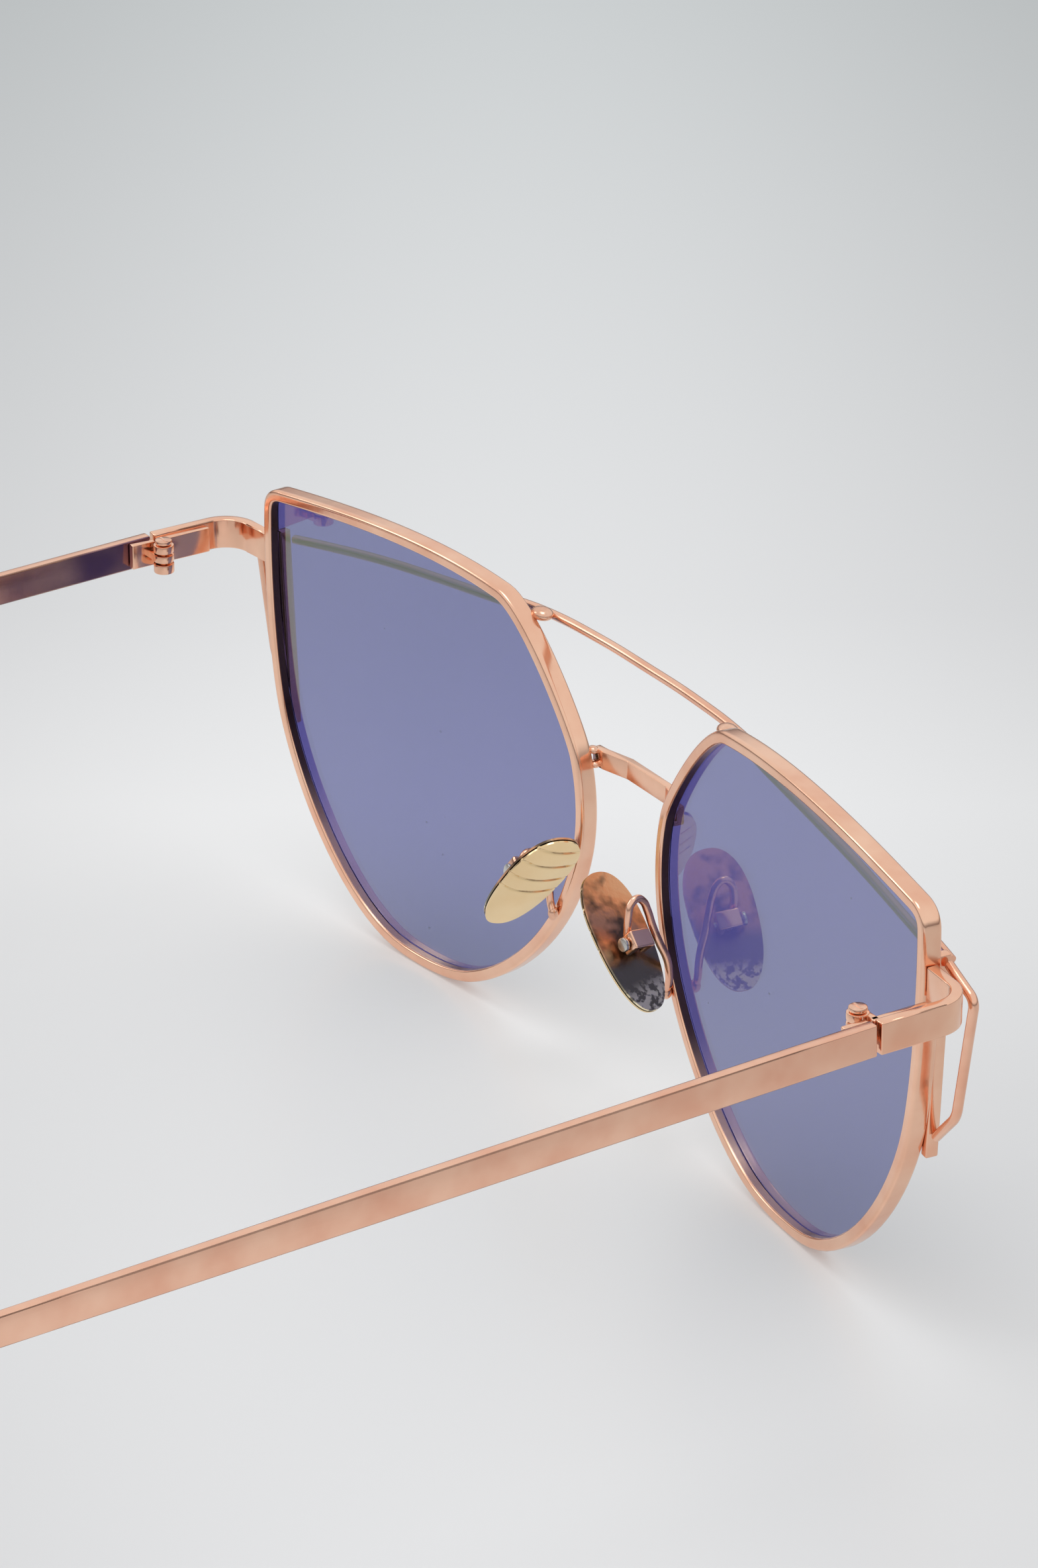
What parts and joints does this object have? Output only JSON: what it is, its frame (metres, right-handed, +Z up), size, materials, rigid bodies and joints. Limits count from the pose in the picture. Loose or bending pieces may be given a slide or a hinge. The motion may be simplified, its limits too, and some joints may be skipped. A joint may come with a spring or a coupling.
{
  "type": "aviator sunglasses",
  "caption": "Aviator sunglasses: large teardrop mirrored lenses in thin metal rims, a wire brow bar, a folded lower bridge, swivelling nose pads and folding strip temples with ear tips",
  "frame": {"origin": "The centre of the bounding box on the flat surface the open glasses stand on, which the bottoms of the rims and the ends of the ear tips touch.", "axes": "+X points to the wearer's left, +Y points from the lenses back along the open temples toward the wearer, and +Z points up."},
  "size_m": [0.1486, 0.1504, 0.0533],
  "materials": {
    "rose_gold": "polished rose-gold plating",
    "pad_gold": "polished pale gold, engraved on the skin side",
    "screw_steel": "bright",
    "lens_tint": "smooth blue-violet mirrored tint",
    "tip_plastic": "glossy blush plastic"
  },
  "bodies": {
    "front": {"brow_wire": "rose_gold", "lower_bridge": "rose_gold", "rim_left": "rose_gold", "lens_left": "lens_tint", "side_bar_left": "rose_gold", "brow_post_left": "rose_gold", "side_loop_left": "rose_gold", "end_piece_left": "rose_gold", "hinge_front_left": "rose_gold", "hinge_screw_left": "screw_steel", "pad_box_left": "rose_gold", "pad_screw_left": "screw_steel", "pad_arm_left": "rose_gold", "rim_right": "rose_gold", "lens_right": "lens_tint", "side_bar_right": "rose_gold", "brow_post_right": "rose_gold", "side_loop_right": "rose_gold", "end_piece_right": "rose_gold", "hinge_front_right": "rose_gold", "hinge_screw_right": "screw_steel", "pad_box_right": "rose_gold", "pad_screw_right": "screw_steel", "pad_arm_right": "rose_gold"},
    "temple_left": {"temple_left": "rose_gold", "temple_tip_left": "tip_plastic", "hinge_rear_left": "rose_gold"},
    "nose_pad_left": {"nose_pad_left": "pad_gold"},
    "temple_right": {"temple_right": "rose_gold", "temple_tip_right": "tip_plastic", "hinge_rear_right": "rose_gold"},
    "nose_pad_right": {"nose_pad_right": "pad_gold"}
  },
  "joints": [
    {"name": "left_temple_fold", "type": "hinge", "parent": "front", "child": "temple_left", "pos_m": [0.07, -0.0534, 0.04264], "axis": [0, 0, 1], "range_deg": [0, 90]},
    {"name": "right_temple_fold", "type": "hinge", "parent": "front", "child": "temple_right", "pos_m": [-0.07, -0.0534, 0.04264], "axis": [0, 0, -1], "range_deg": [0, 86]},
    {"name": "left_pad_rock", "type": "hinge", "parent": "front", "child": "nose_pad_left", "pos_m": [0.01136, -0.06538, 0.02318], "axis": [0.0653, 0.9618, 0.2659], "range_deg": [-8, 8]},
    {"name": "right_pad_rock", "type": "hinge", "parent": "front", "child": "nose_pad_right", "pos_m": [-0.01124, -0.06571, 0.0238], "axis": [-0.1269, 0.9805, 0.15], "range_deg": [-8, 8]}
  ]
}
